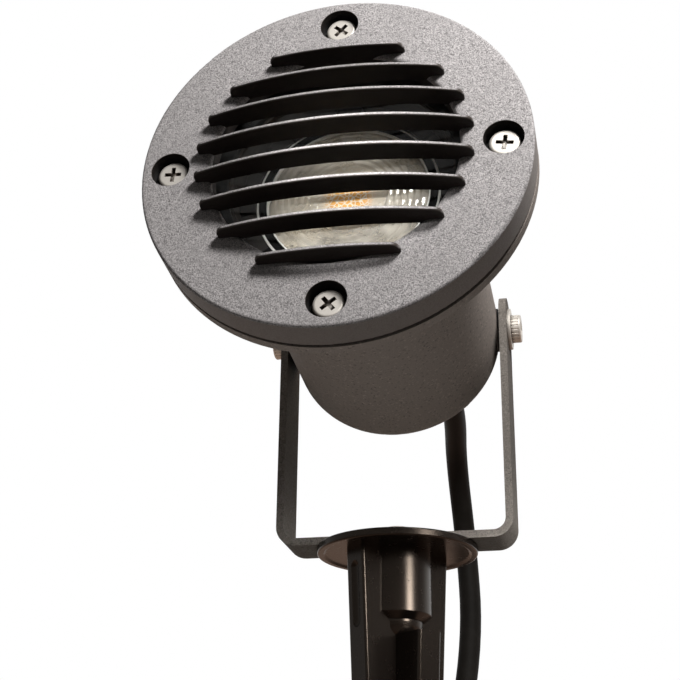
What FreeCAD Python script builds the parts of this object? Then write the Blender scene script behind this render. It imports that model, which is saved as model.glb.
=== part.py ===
import FreeCAD, Part
import os
from math import atan2, cos, degrees, pi, radians, sin, sqrt, tan

# Garden spike spotlight, in millimetres.
# +Z points up along the spike, and the origin is the centre of the disc's underside.
# At zero tilt and swivel the head faces -Y and the yoke's arms stand at +X and -X.

os.makedirs("parts", exist_ok=True)
V = FreeCAD.Vector

# Head: "depth" is measured back from the front plane of the face casting.
TILT_AT_REST = 7.1          # degrees up from level
PIVOT_HEIGHT = 69.0
PIVOT_DEPTH = 94.0
FACE_RADIUS = 51.0
FACE_THICKNESS = 9.0
OPENING_RADIUS = 32.3
SCREW_CIRCLE = 43.3
COUNTERBORE_RADIUS = 5.2
COUNTERBORE_DEPTH = 4.6
LOUVRE_PITCH = 9.0
LOUVRE_COUNT = 8
LOUVRE_THICKNESS = 1.1
LOUVRE_FOOT_RADIUS = 36.3
LOUVRE_EDGE_HEIGHT = 3.4    # from the face to a louvre's front edge, at its ends
LOUVRE_CROWN = 6.1          # what the front edge gains in the middle of the face
LOUVRE_DEPTH = 6.6
GASKET_THICKNESS = 1.0
FLANGE_RADIUS = 51.0
FLANGE_THICKNESS = 3.6
HOUSING_RADIUS = 31.8
HOUSING_WALL = 2.4
DOME_START = 95.5
DOME_LENGTH = 16.0
BACK_FLAT_RADIUS = 12.0
LAMP_RIM_DEPTH = 18.5
LAMP_RADIUS = 25.0
PIN_SPACING = 5.33

# Yoke and base.
STRAP_THICKNESS = 2.2
STRAP_WIDTH = 15.6
YOKE_GAP = 65.0
YOKE_TOP = 78.5
YOKE_BEND = 3.6             # inner radius
DISC_RADIUS = 23.4
DISC_THICKNESS = 2.3
BOSS_RADIUS = 9.75
BOSS_LENGTH = 18.0
FIN_THICKNESS = 7.8
FIN_REACH = 15.8            # from the axis to a fin's end face, at the disc
FIN_TAPER = 0.052           # reach lost for each millimetre down
SPIKE_LENGTH = 205.0
POINT_LENGTH = 36.0
FIN_TURN = 48.5             # degrees from -Y towards +X

# Cord.
GLAND_ACROSS = 12.0         # the gland's place on the back, from the head's axis
GLAND_UP = -4.0
CORD_DIAMETER = 7.4
COIL_RADIUS = 40.0
COIL_CENTRE = V(0.0, 62.0, 0.0)


def save(name, shape):
    """Write one node, after a look at its solids."""
    volume = sum(solid.Volume for solid in shape.Solids)
    print("%-22s solids %2d  volume %9.1f  valid %s" % (name, len(shape.Solids), volume, shape.isValid()))
    shape.exportStep("parts/" + name + ".step")


def cylinder(radius, length, start, direction):
    return Part.makeCylinder(radius, length, start, direction)


def turned(points, axis=V(0, 1, 0)):
    """Solid of revolution. Points are (radius, height along the axis); a third number rounds that corner."""
    outline = rounded_outline([V(p[0], p[1], 0) for p in points], [p[2] if len(p) > 2 else 0.0 for p in points])
    solid = Part.Face(outline).revolve(V(0, 0, 0), V(0, 1, 0), 360)
    if axis.z > 0.5:
        solid.rotate(V(0, 0, 0), V(1, 0, 0), 90)
    return solid


def rounded_outline(corners, radii):
    """Closed wire through the corners, each rounded by its own radius."""
    starts = []
    ends = []
    middles = []
    count = len(corners)
    for i, corner in enumerate(corners):
        before = (corners[i - 1] - corner).normalize()
        after = (corners[(i + 1) % count] - corner).normalize()
        radius = radii[i]
        if radius <= 0.0:
            starts.append(corner)
            ends.append(corner)
            middles.append(None)
            continue
        half = before.getAngle(after) / 2
        reach = radius / tan(half)
        bisector = (before + after).normalize()
        starts.append(corner + before * reach)
        ends.append(corner + after * reach)
        middles.append(corner + bisector * (radius / sin(half) - radius))
    edges = []
    for i in range(count):
        if middles[i] is not None:
            edges.append(Part.Arc(starts[i], middles[i], ends[i]).toShape())
        following = starts[(i + 1) % count]
        if (following - ends[i]).Length > 1e-6:
            edges.append(Part.LineSegment(ends[i], following).toShape())
    return Part.Wire(edges)


def hexagon(across_flats, length, start_y):
    """Hexagonal prism along +Y."""
    radius = across_flats / sqrt(3.0)
    points = [V(radius * cos(k * pi / 3), start_y, radius * sin(k * pi / 3)) for k in range(7)]
    return Part.Face(Part.makePolygon(points)).extrude(V(0, length, 0))


def place_head(shape):
    """Move a shape from the head's own frame, where +Y is depth, to its place at rest."""
    shape = shape.copy()
    shape.translate(V(0, -PIVOT_DEPTH, 0))
    shape.rotate(V(0, 0, 0), V(1, 0, 0), -TILT_AT_REST)
    shape.translate(V(0, 0, PIVOT_HEIGHT))
    return shape


def head_point(x, depth, height):
    """A point of the head's own frame, in the part's frame at rest."""
    back = depth - PIVOT_DEPTH
    lean = radians(TILT_AT_REST)
    return V(x, back * cos(lean) + height * sin(lean), PIVOT_HEIGHT - back * sin(lean) + height * cos(lean))


def around_face(shape):
    """Four copies of a shape at the top, sides and bottom of the screw circle."""
    copies = []
    for quarter in range(4):
        copy = shape.copy()
        copy.translate(V(0, 0, SCREW_CIRCLE))
        copy.rotate(V(0, 0, 0), V(0, 1, 0), 90 * quarter)
        copies.append(copy)
    return copies


# --- Face casting with its louvres -------------------------------------------------------------

def louvre(height):
    """One level plate with upright ends on the ring and a front that follows the domed crown."""
    foot = sqrt(LOUVRE_FOOT_RADIUS ** 2 - height ** 2)
    crest = LOUVRE_EDGE_HEIGHT + LOUVRE_CROWN * (1 - (height / LOUVRE_FOOT_RADIUS) ** 2)
    low = height - LOUVRE_THICKNESS / 2
    front = Part.Arc(V(-foot, -LOUVRE_EDGE_HEIGHT, low), V(0, -crest, low), V(foot, -LOUVRE_EDGE_HEIGHT, low))
    back = Part.Arc(V(foot, 2, low), V(0, LOUVRE_DEPTH - crest, low), V(-foot, 2, low))
    right = Part.LineSegment(V(foot, -LOUVRE_EDGE_HEIGHT, low), V(foot, 2, low))
    left = Part.LineSegment(V(-foot, 2, low), V(-foot, -LOUVRE_EDGE_HEIGHT, low))
    outline = Part.Wire([front.toShape(), right.toShape(), back.toShape(), left.toShape()])
    plate = Part.Face(outline).extrude(V(0, 0, LOUVRE_THICKNESS))
    front_corners = [e for e in plate.Edges if e.BoundBox.ZLength > 1 and e.BoundBox.YMin < -3]
    plate = plate.makeFillet(2.6, front_corners)
    front_edges = [e for e in plate.Edges if e.BoundBox.XLength > 10 and e.BoundBox.YMin < -crest + 0.2]
    return plate.makeFillet(0.42, front_edges)


GLASS_RADIUS = 35.6
GLASS_START = 5.2
GLASS_THICKNESS = 3.0

face_ring = turned([
    (OPENING_RADIUS, 0.0, 1.5),
    (FACE_RADIUS, 0.0, 0.8),
    (FACE_RADIUS, FACE_THICKNESS, 0.4),
    (GLASS_RADIUS + 0.3, FACE_THICKNESS),
    (GLASS_RADIUS + 0.3, GLASS_START),
    (OPENING_RADIUS, GLASS_START),
])
louvre_heights = [(k - (LOUVRE_COUNT - 1) / 2) * LOUVRE_PITCH for k in range(LOUVRE_COUNT)]
face_grille = face_ring.fuse([louvre(height) for height in louvre_heights]).removeSplitter()
counterbore = cylinder(COUNTERBORE_RADIUS, COUNTERBORE_DEPTH + 5, V(0, -5, 0), V(0, 1, 0))
screw_hole = cylinder(2.2, 20, V(0, -5, 0), V(0, 1, 0))
face_grille = face_grille.cut(around_face(counterbore.fuse(screw_hole)))
save("face_grille", place_head(face_grille))

# --- Face screws: pan heads with a cross recess, each turned its own way -----------------------

head_under = COUNTERBORE_DEPTH
screw_profile = [
    (0.0, head_under - 2.4),
    (4.1, head_under - 2.4, 0.9),
    (4.1, head_under),
    (2.0, head_under),
    (2.0, head_under + 11.0),
    (1.4, head_under + 11.6),
    (0.0, head_under + 11.6),
]
recess_arm = Part.makeBox(4.5, 2.0, 1.1, V(-2.25, head_under - 3.0, -0.55))
recess_cross = recess_arm.copy()
recess_cross.rotate(V(0, 0, 0), V(0, 1, 0), 90)
recess = recess_arm.fuse(recess_cross)
screws = []
for quarter, turn in enumerate([41, 8, 52, 3]):
    screw = turned(screw_profile)
    slot = recess.copy()
    slot.rotate(V(0, 0, 0), V(0, 1, 0), turn)
    screw = screw.cut(slot)
    screw.translate(V(0, 0, SCREW_CIRCLE))
    screw.rotate(V(0, 0, 0), V(0, 1, 0), 90 * quarter)
    screws.append(screw)
save("face_screws", place_head(Part.makeCompound(screws)))

# --- Gasket, glass and glass gasket ------------------------------------------------------------

gasket_start = FACE_THICKNESS
housing_start = FACE_THICKNESS + GASKET_THICKNESS
face_gasket = turned([
    (37.0, gasket_start),
    (49.0, gasket_start),
    (49.0, housing_start),
    (37.0, housing_start),
])
gasket_hole = cylinder(2.3, 20, V(0, 0, 0), V(0, 1, 0))
save("face_gasket", place_head(face_gasket.cut(around_face(gasket_hole))))

glass_end = GLASS_START + GLASS_THICKNESS
save("front_glass", place_head(turned([
    (0.0, GLASS_START),
    (GLASS_RADIUS, GLASS_START, 0.4),
    (GLASS_RADIUS, glass_end, 0.4),
    (0.0, glass_end),
])))
save("glass_gasket", place_head(turned([
    (30.2, glass_end),
    (GLASS_RADIUS, glass_end),
    (GLASS_RADIUS, housing_start),
    (30.2, housing_start),
])))

# --- Housing: can with a front flange and a rounded back ---------------------------------------

def dome_arc(radius, start, length, flat_radius):
    """Quarter of an ellipse from the can's side to the flat at its back, as points."""
    points = []
    last = sqrt(1 - (flat_radius / radius) ** 2)
    steps = 10
    for k in range(1, steps + 1):
        reach = last * sin(k * pi / 2 / steps)
        points.append(V(radius * sqrt(1 - reach ** 2), start + length * reach, 0))
    return points


GLAND_PAD_RADIUS = 11.0
dome_points = dome_arc(HOUSING_RADIUS, DOME_START, DOME_LENGTH, BACK_FLAT_RADIUS)
back_depth = dome_points[-1].y
flange_end = housing_start + FLANGE_THICKNESS
inner_radius = HOUSING_RADIUS - HOUSING_WALL
inner_points = dome_arc(inner_radius, DOME_START, DOME_LENGTH - 3.0, BACK_FLAT_RADIUS)
inner_back = inner_points[-1].y
gland_inner = back_depth - 3.0

outer_curve = Part.BSplineCurve()
outer_curve.interpolate([V(HOUSING_RADIUS, DOME_START, 0)] + dome_points)
inner_curve = Part.BSplineCurve()
inner_curve.interpolate([V(inner_radius, DOME_START, 0)] + inner_points)
housing_edges = Part.makePolygon([
    V(inner_radius, DOME_START, 0),
    V(inner_radius, housing_start, 0),
    V(FLANGE_RADIUS, housing_start, 0),
    V(FLANGE_RADIUS, flange_end - 0.6, 0),
    V(FLANGE_RADIUS - 0.6, flange_end, 0),
    V(HOUSING_RADIUS + 1.6, flange_end, 0),
]).Edges
flange_root = Part.Arc(
    V(HOUSING_RADIUS + 1.6, flange_end, 0),
    V(HOUSING_RADIUS + 0.47, flange_end + 0.47, 0),
    V(HOUSING_RADIUS, flange_end + 1.6, 0),
).toShape()
side = Part.LineSegment(V(HOUSING_RADIUS, flange_end + 1.6, 0), V(HOUSING_RADIUS, DOME_START, 0)).toShape()
back_edges = Part.makePolygon([
    V(BACK_FLAT_RADIUS, back_depth, 0),
    V(0, back_depth, 0),
    V(0, inner_back, 0),
    V(BACK_FLAT_RADIUS, inner_back, 0),
]).Edges
profile = Part.Wire(housing_edges + [flange_root, side, outer_curve.toShape()] + back_edges + [inner_curve.toShape()])
housing = Part.Face(profile).revolve(V(0, 0, 0), V(0, 1, 0), 360)
for side_sign in (-1, 1):
    pad = cylinder(6.6, 8.0, V(side_sign * (HOUSING_RADIUS - 8.0), PIVOT_DEPTH, 0), V(side_sign, 0, 0))
    housing = housing.fuse(pad)
for side_sign in (-1, 1):
    housing = housing.cut(cylinder(2.5, 10.0, V(side_sign * 23.0, PIVOT_DEPTH, 0), V(side_sign, 0, 0)))
gland_pad = cylinder(GLAND_PAD_RADIUS, 14.0, V(GLAND_ACROSS, back_depth - 14.0, GLAND_UP), V(0, 1, 0))
housing = housing.fuse(gland_pad)
gland_spot = cylinder(GLAND_PAD_RADIUS - 1.0, 30.0, V(GLAND_ACROSS, gland_inner - 30.0, GLAND_UP), V(0, 1, 0))
housing = housing.cut(gland_spot)
housing = housing.cut(cylinder(6.05, 30, V(GLAND_ACROSS, gland_inner - 5, GLAND_UP), V(0, 1, 0)))
flange_hole = cylinder(2.02, 20, V(0, 0, 0), V(0, 1, 0))
housing = housing.cut(around_face(flange_hole))
save("housing", place_head(housing))

# --- Lamp, lamp ring and holder ----------------------------------------------------------------

rim = LAMP_RIM_DEPTH
LENS_RADIUS = 21.6
lamp_body = turned([
    (LENS_RADIUS + 0.1, rim + 0.1, 0.2),
    (LENS_RADIUS + 0.9, rim + 0.1, 0.2),
    (LENS_RADIUS + 1.3, rim + 0.9),
    (LENS_RADIUS + 1.9, rim + 0.9),
    (LENS_RADIUS + 2.3, rim),
    (LAMP_RADIUS, rim, 0.3),
    (LAMP_RADIUS, rim + 3.0, 0.5),
    (22.0, rim + 8.0, 4.0),
    (14.0, rim + 20.0, 6.0),
    (10.0, rim + 27.0, 1.0),
    (0.0, rim + 27.0),
    (0.0, rim + 9.2),
    (7.6, rim + 9.2),
    (10.5, rim + 7.0, 2.0),
    (LENS_RADIUS - 0.8, rim + 2.4),
    (LENS_RADIUS + 0.1, rim + 2.4),
])
save("lamp_body", place_head(lamp_body))
save("lamp_lens", place_head(turned([
    (0.0, rim + 0.2),
    (LENS_RADIUS, rim + 0.4, 0.3),
    (LENS_RADIUS, rim + 2.3),
    (0.0, rim + 2.3),
])))
save("lamp_emitter", place_head(turned([
    (0.0, rim + 7.6),
    (7.4, rim + 7.9, 0.3),
    (7.4, rim + 9.2),
    (0.0, rim + 9.2),
])))

ring = turned([
    (LAMP_RADIUS + 0.1, rim - 0.8),
    (inner_radius - 0.1, rim - 0.8, 0.5),
    (inner_radius - 0.1, rim + 3.6, 0.5),
    (LAMP_RADIUS + 0.1, rim + 3.6),
])
slots = []
for k in range(24):
    slot = Part.makeBox(1.2, 4.0, 6.0, V(-0.6, rim - 1.8, LAMP_RADIUS - 0.5))
    slot.rotate(V(0, 0, 0), V(0, 1, 0), 7.5 + 15 * k)
    slots.append(slot)
save("lamp_ring", place_head(ring.cut(slots)))

base_start = rim + 27.0
lamp_base = Part.makeBox(14.0, 9.0, 8.0, V(-7.0, base_start, -4.0))
lamp_base = lamp_base.makeFillet(1.2, [edge for edge in lamp_base.Edges if abs(edge.tangentAt(0).y) > 0.9])
pin_start = base_start + 9.0
save("lamp_base", place_head(lamp_base))
pins = [cylinder(0.75, 7.0, V(x, pin_start, 0), V(0, 1, 0)) for x in (-PIN_SPACING / 2, PIN_SPACING / 2)]
save("lamp_pins", place_head(Part.makeCompound(pins)))

holder_start = pin_start + 0.6
holder = Part.makeBox(18.0, 12.0, 9.0, V(-9.0, holder_start, -4.5))
holder = holder.makeFillet(1.5, [edge for edge in holder.Edges if abs(edge.tangentAt(0).y) > 0.9])
sockets = [cylinder(0.8, 6.8, V(x, holder_start - 0.2, 0), V(0, 1, 0)) for x in (-PIN_SPACING / 2, PIN_SPACING / 2)]
save("lamp_holder", place_head(holder.cut(sockets)))

clip_wire = []
for side_sign in (-1, 1):
    leg = Part.makeBox(0.8, 20.0, 4.0, V(side_sign * 9.5 - 0.4, base_start + 3.0, -2.0))
    clip_wire.append(leg)
bridge = Part.makeBox(19.8, 0.8, 4.0, V(-9.9, holder_start + 12.1, -2.0))
bridge = bridge.cut(Part.makeBox(8.0, 2.0, 2.4, V(-4.0, holder_start + 11.5, -1.2)))
toes = [Part.makeBox(2.7, 0.8, 4.0, V(-9.9, base_start + 2.2, -2.0)),
        Part.makeBox(2.7, 0.8, 4.0, V(7.2, base_start + 2.2, -2.0))]
clip = clip_wire[0].fuse([clip_wire[1], bridge] + toes).removeSplitter()
save("holder_clip", place_head(clip))

# --- Tubes -------------------------------------------------------------------------------------

def tube(edges, diameter):
    """Round tube along joined edges."""
    path = Part.Wire(edges)
    first = path.OrderedEdges[0]
    start = first.valueAt(first.FirstParameter)
    direction = first.tangentAt(first.FirstParameter)
    section = Part.Wire([Part.Circle(start, direction, diameter / 2).toShape()])
    solid = path.makePipeShell([section], True, False)
    expected = path.Length * pi * diameter ** 2 / 4
    print("   tube length %.1f  volume %.1f of %.1f" % (path.Length, solid.Volume, expected))
    return solid


def route(points, diameter):
    """Straight runs joined by tangent arcs; prints each arc's radius."""
    edges = []
    here = points[0]
    radii = []
    for before, corner, after in zip(points, points[1:], points[2:]):
        back = before - corner
        ahead = after - corner
        turn = pi - back.getAngle(ahead)
        reach = 0.45 * min(back.Length, ahead.Length)
        radius = reach / tan(turn / 2)
        radii.append(radius)
        start = corner + back.normalize() * reach
        end = corner + ahead.normalize() * reach
        bisector = ((start - corner) + (end - corner)).normalize()
        middle = corner + bisector * (radius / cos(turn / 2) - radius)
        edges.append(Part.LineSegment(here, start).toShape())
        edges.append(Part.Arc(start, middle, end).toShape())
        here = end
    edges.append(Part.LineSegment(here, points[-1]).toShape())
    print("   radii in cord diameters:", " ".join("%.1f" % (r / diameter) for r in radii))
    return edges


# --- Gland and the cores inside the housing ----------------------------------------------------

def place_gland(shape):
    """Move a shape made on the head's axis to the gland's axis, and the head to its place."""
    shape = shape.copy()
    shape.translate(V(GLAND_ACROSS, 0, GLAND_UP))
    return place_head(shape)


CORD_RADIUS = CORD_DIAMETER / 2
gland_thread = turned([
    (CORD_RADIUS + 0.15, gland_inner - 6.0),
    (6.0, gland_inner - 6.0, 0.5),
    (6.0, back_depth),
    (6.0, back_depth + 8.0, 0.3),
    (5.1, back_depth + 8.0),
    (5.1, back_depth + 3.0),
    (CORD_RADIUS + 0.15, back_depth + 2.0),
])
gland_hex = hexagon(16.0, 4.5, back_depth).cut(cylinder(5.5, 10, V(0, back_depth - 1, 0), V(0, 1, 0)))
gland_limit = turned([(0, back_depth), (9.1, back_depth, 0.6), (9.1, back_depth + 4.5, 0.6), (0, back_depth + 4.5)])
save("gland_body", place_gland(gland_thread.fuse(gland_hex.common(gland_limit)).removeSplitter()))
lock_nut = hexagon(16.0, 3.0, gland_inner - 3.0).cut(cylinder(6.02, 10, V(0, gland_inner - 6, 0), V(0, 1, 0)))
save("gland_lock_nut", place_gland(lock_nut))
save("gland_seal", place_gland(turned([
    (CORD_RADIUS, back_depth + 3.2),
    (5.0, back_depth + 3.2),
    (5.0, back_depth + 8.5, 0.4),
    (CORD_RADIUS, back_depth + 10.0),
])))
exit_depth = back_depth + 17.0
nut_hex = hexagon(16.0, 8.0, back_depth + 4.6)
nut_round = turned([
    (6.02, back_depth + 4.6),
    (9.1, back_depth + 4.6, 0.6),
    (9.1, back_depth + 12.0),
    (7.9, back_depth + 13.0, 1.0),
    (5.6, exit_depth, 1.2),
    (CORD_RADIUS + 0.2, exit_depth),
    (CORD_RADIUS + 0.2, back_depth + 11.0),
    (6.02, back_depth + 8.6),
])
nut_top = turned([
    (6.02, back_depth + 12.0),
    (9.3, back_depth + 12.0),
    (9.3, exit_depth + 2),
    (3.0, exit_depth + 2),
    (3.0, back_depth + 12.0),
])
save("gland_dome_nut", place_gland(nut_round.common(nut_hex.fuse(nut_top))))
tail_start = gland_inner - 11.0
save("cord_tail", place_gland(cylinder(CORD_RADIUS, exit_depth - tail_start, V(0, tail_start, 0), V(0, 1, 0))))

holder_end = holder_start + 12.0
joint_start = holder_end + 6.0
joint_length = 8.0
leads = []
cores = []
joints = []
for side_sign in (-1, 1):
    x = side_sign * 2.2
    leads.append(cylinder(0.9, joint_start - holder_end, V(x, holder_end, 0), V(0, 1, 0)))
    joints.append(cylinder(1.8, joint_length, V(x, joint_start, 0), V(0, 1, 0)))
    core_start = V(x, joint_start + joint_length, 0)
    core_end = V(GLAND_ACROSS + side_sign * 1.6, tail_start, GLAND_UP)
    core_run = (core_end.y - core_start.y) / 3
    corners = [core_start, core_start + V(0, core_run, 0), core_end - V(0, core_run, 0), core_end]
    cores.append(corners)
save("holder_leads", place_head(Part.makeCompound(leads)))
save("crimp_joints", place_head(Part.makeCompound(joints)))
save("cord_cores", place_head(Part.makeCompound([tube(route(corners, 1.8), 1.8) for corners in cores])))

# --- Side screws, washers and spacers ----------------------------------------------------------

SIDE_HEAD_HEIGHT = 2.9
arm_outer = YOKE_GAP / 2 + STRAP_THICKNESS
side_screws = []
side_washers = []
side_spacers = []
for side_sign in (-1, 1):
    along = V(side_sign, 0, 0)
    washer_start = V(side_sign * arm_outer, PIVOT_DEPTH, 0)
    washer = cylinder(6.25, 1.0, washer_start, along)
    side_washers.append(washer.cut(cylinder(2.65, 3.0, washer_start - along, along)))
    head_start = V(side_sign * (arm_outer + 1.0), PIVOT_DEPTH, 0)
    head = cylinder(4.25, SIDE_HEAD_HEIGHT, head_start, along)
    head_end = arm_outer + 1.0 + SIDE_HEAD_HEIGHT
    head = head.makeFillet(0.4, [edge for edge in head.Edges if abs(abs(edge.BoundBox.Center.x) - head_end) < 0.1])
    grooves = []
    for k in range(24):
        angle = 2 * pi * k / 24
        centre = V(head_start.x, PIVOT_DEPTH + 4.4 * cos(angle), 4.4 * sin(angle))
        grooves.append(cylinder(0.3, SIDE_HEAD_HEIGHT - 0.1, centre - along * 0.5, along))
    head = head.cut(grooves)
    hexagon_points = []
    for k in range(7):
        angle = k * pi / 3 + 0.3 * side_sign
        reach = 4.0 / sqrt(3.0)
        hexagon_points.append(V(side_sign * (head_end - 1.6), PIVOT_DEPTH + reach * cos(angle), reach * sin(angle)))
    head = head.cut(Part.Face(Part.makePolygon(hexagon_points)).extrude(V(side_sign * 3.0, 0, 0)))
    shank = cylinder(2.48, 12.0, V(side_sign * (arm_outer - 11.0), PIVOT_DEPTH, 0), along)
    side_screws.append(head.fuse(shank))
    spacer_start = V(side_sign * HOUSING_RADIUS, PIVOT_DEPTH, 0)
    spacer = cylinder(6.0, YOKE_GAP / 2 - HOUSING_RADIUS, spacer_start, along)
    side_spacers.append(spacer.cut(cylinder(2.65, 3.0, spacer_start - along, along)))
save("side_screws", place_head(Part.makeCompound(side_screws)))
save("side_washers", place_head(Part.makeCompound(side_washers)))
save("side_spacers", place_head(Part.makeCompound(side_spacers)))

# --- Yoke: one strap bent to a U ---------------------------------------------------------------

bar_low = DISC_THICKNESS
bar_high = bar_low + STRAP_THICKNESS
strap_points = [
    V(-arm_outer, 0, bar_low),
    V(arm_outer, 0, bar_low),
    V(arm_outer, 0, YOKE_TOP),
    V(YOKE_GAP / 2, 0, YOKE_TOP),
    V(YOKE_GAP / 2, 0, bar_high),
    V(-YOKE_GAP / 2, 0, bar_high),
    V(-YOKE_GAP / 2, 0, YOKE_TOP),
    V(-arm_outer, 0, YOKE_TOP),
]
outer_bend = YOKE_BEND + STRAP_THICKNESS
strap_radii = [outer_bend, outer_bend, 0.0, 0.0, YOKE_BEND, YOKE_BEND, 0.0, 0.0]
strap = Part.Face(rounded_outline(strap_points, strap_radii)).extrude(V(0, STRAP_WIDTH, 0))
strap.translate(V(0, -STRAP_WIDTH / 2, 0))
arm_shape = rounded_outline(
    [
        V(-60, -STRAP_WIDTH / 2, bar_low),
        V(-60, STRAP_WIDTH / 2, bar_low),
        V(-60, STRAP_WIDTH / 2, YOKE_TOP),
        V(-60, -STRAP_WIDTH / 2, YOKE_TOP),
    ],
    [0.0, 0.0, 7.0, 7.0],
)
yoke = strap.common(Part.Face(arm_shape).extrude(V(120, 0, 0)))
yoke = yoke.cut(cylinder(2.55, 100, V(-50, 0, PIVOT_HEIGHT), V(1, 0, 0)))
yoke = yoke.cut(cylinder(3.05, 10, V(0, 0, 0), V(0, 0, 1)))
save("yoke", yoke)

# --- Ground spike: disc, boss and crossed fins in one moulding ---------------------------------

disc = turned([
    (0.0, DISC_THICKNESS),
    (DISC_RADIUS, DISC_THICKNESS, 0.5),
    (DISC_RADIUS, 0.0, 0.5),
    (DISC_RADIUS - 1.8, 0.0, 0.3),
    (DISC_RADIUS - 2.6, 0.5),
    (0.0, 0.5),
], axis=V(0, 0, 1))
boss = turned([
    (0.0, 1.0),
    (BOSS_RADIUS, 1.0),
    (BOSS_RADIUS, -BOSS_LENGTH, 0.3),
    (7.6, -BOSS_LENGTH - 1.7),
    (0.0, -BOSS_LENGTH - 1.7),
], axis=V(0, 0, 1))
web_lump = turned([
    (0.0, -BOSS_LENGTH - 1.0),
    (7.2, -BOSS_LENGTH - 1.0),
    (7.2, -BOSS_LENGTH - 2.4),
    (6.6, -BOSS_LENGTH - 6.8, 4.0),
    (0.0, -BOSS_LENGTH - 6.8),
], axis=V(0, 0, 1))


def fin_section(height, reach, thickness, rounding):
    """Rounded rectangle across the spike, as long as two opposite fins."""
    corners = [
        V(-reach, -thickness / 2, height),
        V(reach, -thickness / 2, height),
        V(reach, thickness / 2, height),
        V(-reach, thickness / 2, height),
    ]
    return rounded_outline(corners, [rounding] * 4)


def fin_pair(turn, start):
    """Two opposite fins as one slab that narrows evenly from its start and ends in a point."""
    shoulder = -(SPIKE_LENGTH - POINT_LENGTH)
    low_reach = FIN_REACH + FIN_TAPER * shoulder
    top = fin_section(start, FIN_REACH + FIN_TAPER * start, FIN_THICKNESS, 0.8)
    middle = fin_section(shoulder, low_reach, FIN_THICKNESS - 0.8, 0.7)
    tip = fin_section(-SPIKE_LENGTH, 1.2, 2.0, 0.3)
    slab = Part.makeLoft([top, middle], True, True).fuse(Part.makeLoft([middle, tip], True, True))
    slab.rotate(V(0, 0, 0), V(0, 0, 1), turn)
    return slab


# One pair of fins runs up to the disc, the other starts a little below the boss.
fins = fin_pair(FIN_TURN, 1.0).fuse(fin_pair(FIN_TURN - 90, -BOSS_LENGTH - 6.0))
scoops = []
for side_turn in (FIN_TURN, FIN_TURN + 180):
    high = V(FIN_REACH - FIN_TAPER * 5.5 + 1.2, 0, -5.5)
    low = V(FIN_REACH - FIN_TAPER * 21.0 + 1.2, 0, -21.0)
    scoop = cylinder(2.1, (high - low).Length, low, high - low)
    scoop = scoop.fuse([Part.makeSphere(2.1, high), Part.makeSphere(2.1, low)])
    scoop.rotate(V(0, 0, 0), V(0, 0, 1), side_turn)
    scoops.append(scoop)
fins = fins.cut(scoops)
insert_hole = cylinder(4.5, 13.0, V(0, 0, -12.0), V(0, 0, 1))
bolt_hole = cylinder(3.2, 40.0, V(0, 0, -14.5), V(0, 0, 1))
spike = disc.fuse([boss, web_lump, fins]).cut([insert_hole, bolt_hole]).removeSplitter()
save("ground_spike", spike)

# --- Base bolt, washer and threaded insert -----------------------------------------------------

insert_top = 1.0
insert = cylinder(4.5, insert_top + 12.0, V(0, 0, -12.0), V(0, 0, 1))
save("threaded_insert", insert.cut(cylinder(3.02, 30.0, V(0, 0, -20.0), V(0, 0, 1))))
washer_top = bar_high + 1.2
base_washer = turned([
    (3.2, bar_high),
    (6.25, bar_high, 0.15),
    (6.25, washer_top, 0.15),
    (3.2, washer_top),
], axis=V(0, 0, 1))
save("base_washer", base_washer)
bolt = turned([
    (0.0, -13.0),
    (2.4, -13.0),
    (3.0, -12.3),
    (3.0, washer_top),
    (5.3, washer_top, 0.2),
    (5.2, washer_top + 1.2, 0.8),
    (3.6, washer_top + 2.3, 0.8),
    (0.0, washer_top + 2.3),
], axis=V(0, 0, 1))
socket_points = []
for k in range(7):
    reach = 4.0 / sqrt(3.0)
    socket_points.append(V(reach * cos(k * pi / 3), reach * sin(k * pi / 3), washer_top + 0.6))
bolt = bolt.cut(Part.Face(Part.makePolygon(socket_points)).extrude(V(0, 0, 4)))
save("base_bolt", bolt)

# --- Supply cord -------------------------------------------------------------------------------

def arc_from(start, direction, end):
    """Arc that leaves start along direction and reaches end."""
    chord = end - start
    angle = direction.getAngle(chord)
    middle = (start + end) * 0.5
    normal = direction - chord * (direction.dot(chord) / chord.dot(chord))
    normal.normalize()
    return Part.Arc(start, middle + normal * (chord.Length / 2 * tan(angle / 2)), end).toShape()


def biarc(start, start_direction, end, end_direction):
    """Two arcs that join two points and follow both directions."""
    chord = end - start
    both = start_direction + end_direction
    slack = 2 * (1 - start_direction.dot(end_direction))
    reach = (-chord.dot(both) + sqrt(chord.dot(both) ** 2 + slack * chord.dot(chord))) / slack
    middle = (start + start_direction * reach + end - end_direction * reach) * 0.5
    first = arc_from(start, start_direction, middle)
    second = arc_from(end, end_direction * -1, middle)
    return [first, second]


FLOOR = -SPIKE_LENGTH
LAYER = CORD_DIAMETER + 0.6
COIL_PITCH = CORD_DIAMETER + 0.9
LAYER_TURNS = 1.5
TIE_THICKNESS = 1.0
TIE_WIDTH = 6.0


def coil_point(turns):
    """Spiral in along the floor, climb as it reverses, then spiral out on top."""
    least = COIL_RADIUS - COIL_PITCH * LAYER_TURNS / 2
    climb = min(1.0, max(0.0, turns - LAYER_TURNS + 0.25) / 0.5)
    ease = climb * climb * (3 - 2 * climb)
    away = turns - LAYER_TURNS
    bend = sqrt(away * away + 0.02) - sqrt(0.02)
    radius = least + COIL_PITCH * bend
    angle = COIL_START - 2 * pi * turns
    height = FLOOR + TIE_THICKNESS + 0.1 + CORD_DIAMETER / 2 + LAYER * ease
    return COIL_CENTRE + V(radius * cos(angle), radius * sin(angle), height)


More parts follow.
